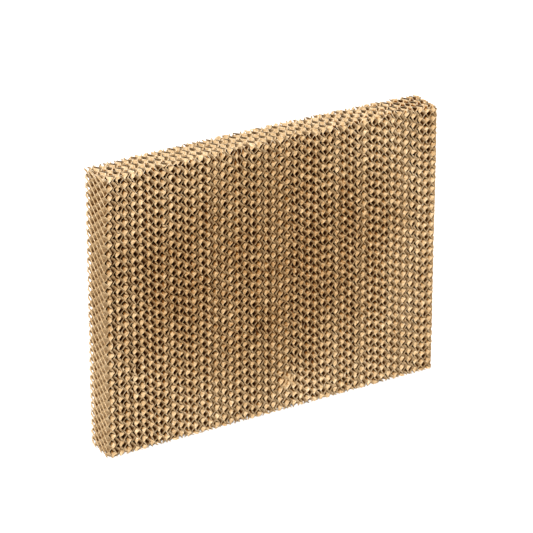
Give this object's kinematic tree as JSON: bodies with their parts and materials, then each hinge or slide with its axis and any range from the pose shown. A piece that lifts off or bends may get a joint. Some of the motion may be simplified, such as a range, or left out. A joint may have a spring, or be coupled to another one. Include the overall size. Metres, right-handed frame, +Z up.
{
  "type": "evaporative cooling pad",
  "caption": "Upright rectangular pad of corrugated kraft paper sheets glued crest to crest with crossing flutes, for wetting and cooling the air that passes through.",
  "frame": {"origin": "centre of the pad's bottom face, on the floor it stands on", "axes": "+X along the width, across the stack of sheets, +Y along the depth from front to back, the way the air passes, +Z up"},
  "size_m": [0.4636, 0.046, 0.352],
  "materials": {
    "kraft_paper": "resin-stiffened brown kraft paper, matte, lighter on the sawn edges"
  },
  "bodies": {
    "root": {"rising_sheets_01": "kraft_paper", "rising_sheets_02": "kraft_paper", "rising_sheets_03": "kraft_paper", "rising_sheets_04": "kraft_paper", "rising_sheets_05": "kraft_paper", "rising_sheets_06": "kraft_paper", "rising_sheets_07": "kraft_paper", "rising_sheets_08": "kraft_paper", "rising_sheets_09": "kraft_paper", "rising_sheets_10": "kraft_paper", "rising_sheets_11": "kraft_paper", "rising_sheets_12": "kraft_paper", "rising_sheets_13": "kraft_paper", "rising_sheets_14": "kraft_paper", "rising_sheets_15": "kraft_paper", "rising_sheets_16": "kraft_paper", "rising_sheets_17": "kraft_paper", "rising_sheets_18": "kraft_paper", "rising_sheets_19": "kraft_paper", "rising_sheets_20": "kraft_paper", "rising_sheets_21": "kraft_paper", "rising_sheets_22": "kraft_paper", "rising_sheets_23": "kraft_paper", "rising_sheets_24": "kraft_paper", "falling_sheets_01": "kraft_paper", "falling_sheets_02": "kraft_paper", "falling_sheets_03": "kraft_paper", "falling_sheets_04": "kraft_paper", "falling_sheets_05": "kraft_paper", "falling_sheets_06": "kraft_paper", "falling_sheets_07": "kraft_paper", "falling_sheets_08": "kraft_paper", "falling_sheets_09": "kraft_paper", "falling_sheets_10": "kraft_paper", "falling_sheets_11": "kraft_paper", "falling_sheets_12": "kraft_paper", "falling_sheets_13": "kraft_paper", "falling_sheets_14": "kraft_paper", "falling_sheets_15": "kraft_paper", "falling_sheets_16": "kraft_paper", "falling_sheets_17": "kraft_paper", "falling_sheets_18": "kraft_paper", "falling_sheets_19": "kraft_paper", "falling_sheets_20": "kraft_paper", "falling_sheets_21": "kraft_paper", "falling_sheets_22": "kraft_paper", "falling_sheets_23": "kraft_paper", "falling_sheets_24": "kraft_paper"}
  },
  "joints": []
}
